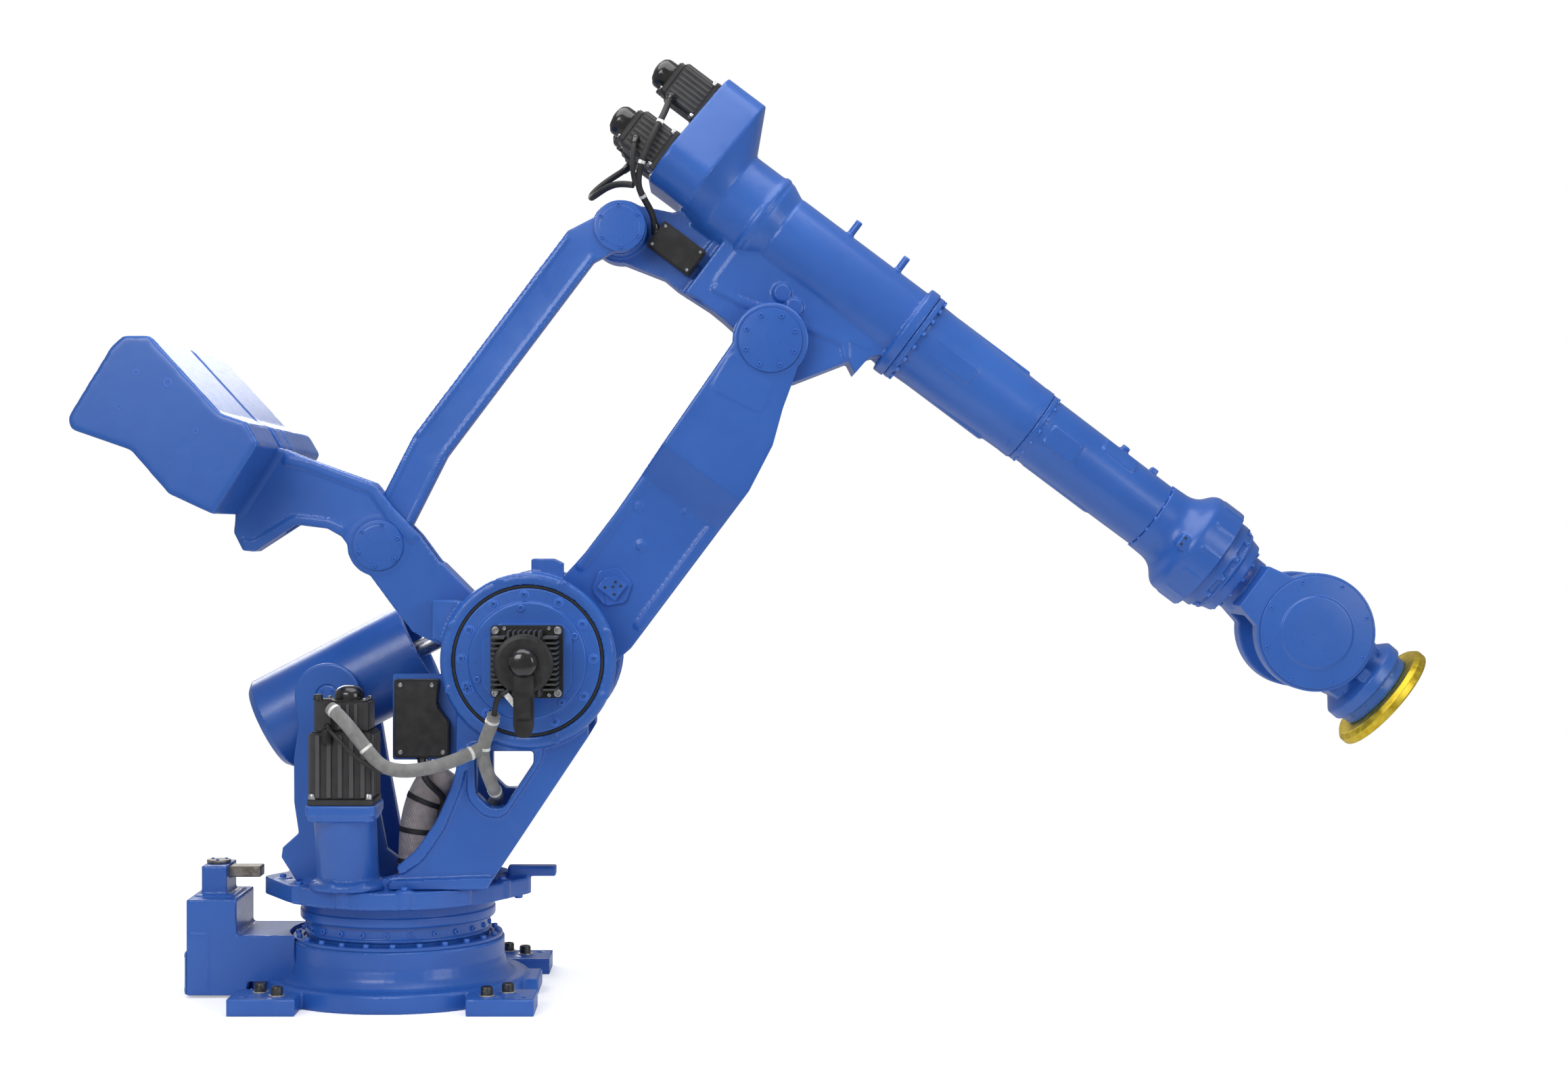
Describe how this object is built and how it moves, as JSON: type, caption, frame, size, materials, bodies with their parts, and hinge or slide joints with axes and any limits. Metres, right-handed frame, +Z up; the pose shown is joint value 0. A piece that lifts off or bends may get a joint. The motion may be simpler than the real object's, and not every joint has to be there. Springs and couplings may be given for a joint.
{
  "type": "industrial robot arm",
  "caption": "Heavy floor-mounted robot arm with slewing pedestal, parallel-link forearm, counterweight, hollow wrist and round tool flange.",
  "frame": {"origin": "on the slew axis at the underside of the foot plate", "axes": "+X forward towards the tool, +Y to the far side, +Z up"},
  "size_m": [4.0556, 1.12, 2.8948],
  "materials": {
    "blue_paint": "satin blue enamel on cast iron and steel",
    "black_motor": "black enamel on finned aluminium",
    "steel_pin": "ground steel",
    "yellow_flange": "yellow passivated steel",
    "grey_sleeve": "woven grey sleeve",
    "pale_wrap": "pale cloth wrap",
    "black_cable": "black cable jacket",
    "stop_steel": "bare stop plate"
  },
  "bodies": {
    "base": {"base_frame": "blue_paint", "base_ring": "blue_paint", "cable_box": "blue_paint", "slew_stop": "stop_steel", "box_cover": "blue_paint"},
    "pedestal": {"slew_housing": "blue_paint", "turntable": "blue_paint", "near_frame": "blue_paint", "far_frame": "blue_paint", "trunnion_leg": "blue_paint", "front_web": "blue_paint", "near_drive": "blue_paint", "far_drive": "blue_paint", "near_motor": "black_motor", "far_motor": "black_motor", "slew_motor_bracket": "blue_paint", "slew_motor": "black_motor", "junction_plate": "blue_paint", "junction_box": "black_motor", "motor_sleeve": "grey_sleeve", "drop_sleeve": "grey_sleeve", "near_motor_lead": "black_cable", "slew_motor_lead": "black_cable", "box_lead": "black_cable", "inner_harness": "pale_wrap"},
    "balancer": {"balancer_barrel": "blue_paint"},
    "balancer_rod": {"balancer_rod": "steel_pin"},
    "lever": {"lever": "blue_paint", "near_weight": "blue_paint", "far_weight": "blue_paint"},
    "link_pin": {"link_pin": "blue_paint"},
    "link": {"link_bar": "blue_paint"},
    "lower_arm": {"lower_arm": "blue_paint", "rod_pin": "steel_pin", "arm_bracket": "blue_paint", "near_elbow_cap": "blue_paint", "far_elbow_cap": "blue_paint"},
    "elbow_pin": {"elbow_pin": "steel_pin"},
    "forearm": {"forearm_casting": "blue_paint", "link_cap": "blue_paint", "near_wrist_motor": "black_motor", "far_wrist_motor": "black_motor", "upper_wrist_motor": "black_motor", "forearm_box": "black_motor", "first_tube": "blue_paint", "second_tube": "blue_paint", "wrist_bulb": "blue_paint", "near_motor_cable": "black_cable", "upper_motor_cable": "black_cable", "far_motor_cable": "black_cable"},
    "wrist_roll": {"roll_housing": "blue_paint", "near_wrist_cover": "blue_paint", "far_wrist_cover": "blue_paint"},
    "wrist_bend": {"bend_housing": "blue_paint"},
    "tool": {"tool_flange": "yellow_flange"}
  },
  "joints": [
    {"name": "slew", "type": "hinge", "parent": "base", "child": "pedestal", "pos_m": [0, 0, 0.17], "axis": [0, 0, 1], "range_deg": [-170, 170]},
    {"name": "lower_arm_swing", "type": "hinge", "parent": "pedestal", "child": "lower_arm", "pos_m": [0.425, 0, 1.035], "axis": [0, 1, 0], "range_deg": [-70, 38]},
    {"name": "lever_swing", "type": "hinge", "parent": "pedestal", "child": "lever", "pos_m": [0.425, 0, 1.035], "axis": [0, 1, 0], "range_deg": [-32, 53]},
    {"name": "elbow_pin_hold", "type": "hinge", "parent": "lower_arm", "child": "elbow_pin", "pos_m": [1.14851, 0, 1.99862], "axis": [0, 1, 0], "range_deg": [-39, 71]},
    {"name": "forearm_swing", "type": "hinge", "parent": "elbow_pin", "child": "forearm", "pos_m": [1.14851, 0, 1.99862], "axis": [0, 1, 0], "range_deg": [-33, 54]},
    {"name": "link_pin_hold", "type": "hinge", "parent": "lever", "child": "link_pin", "pos_m": [-0.03082, 0, 1.37724], "axis": [0, 1, 0], "range_deg": [-54, 33]},
    {"name": "link_swing", "type": "hinge", "parent": "link_pin", "child": "link", "pos_m": [-0.03082, 0, 1.37724], "axis": [0, 1, 0], "range_deg": [-71, 39]},
    {"name": "balancer_tilt", "type": "hinge", "parent": "pedestal", "child": "balancer", "pos_m": [-0.205, 0, 0.916], "axis": [0, 1, 0], "range_deg": [-13.16, 23.4]},
    {"name": "balancer_rod_swing", "type": "hinge", "parent": "lower_arm", "child": "balancer_rod", "pos_m": [0.22167, 0.085, 1.13593], "axis": [0, 1, 0], "range_deg": [-51.16, 93.4]},
    {"name": "wrist_roll", "type": "hinge", "parent": "forearm", "child": "wrist_roll", "pos_m": [2.51116, 0, 1.3319], "axis": [0.7997, 0, -0.6004], "range_deg": [-360, 360]},
    {"name": "wrist_bend", "type": "hinge", "parent": "wrist_roll", "child": "wrist_bend", "pos_m": [2.80304, 0, 1.11275], "axis": [0, 1, 0], "range_deg": [-128.5, 121.5]},
    {"name": "tool_turn", "type": "hinge", "parent": "wrist_bend", "child": "tool", "pos_m": [3.05816, 0, 0.89563], "axis": [0.7615, 0, -0.6481], "range_deg": [-360, 360]}
  ],
  "couplings": [
    {"joint": "elbow_pin_hold", "follows": "lower_arm_swing", "ratio": -1},
    {"joint": "forearm_swing", "follows": "lever_swing", "ratio": 1},
    {"joint": "link_pin_hold", "follows": "lever_swing", "ratio": -1},
    {"joint": "link_swing", "follows": "lower_arm_swing", "ratio": 1},
    {"joint": "balancer_tilt", "follows": "lower_arm_swing", "ratio": -0.32},
    {"joint": "balancer_rod_swing", "follows": "lower_arm_swing", "ratio": -1.32}
  ]
}
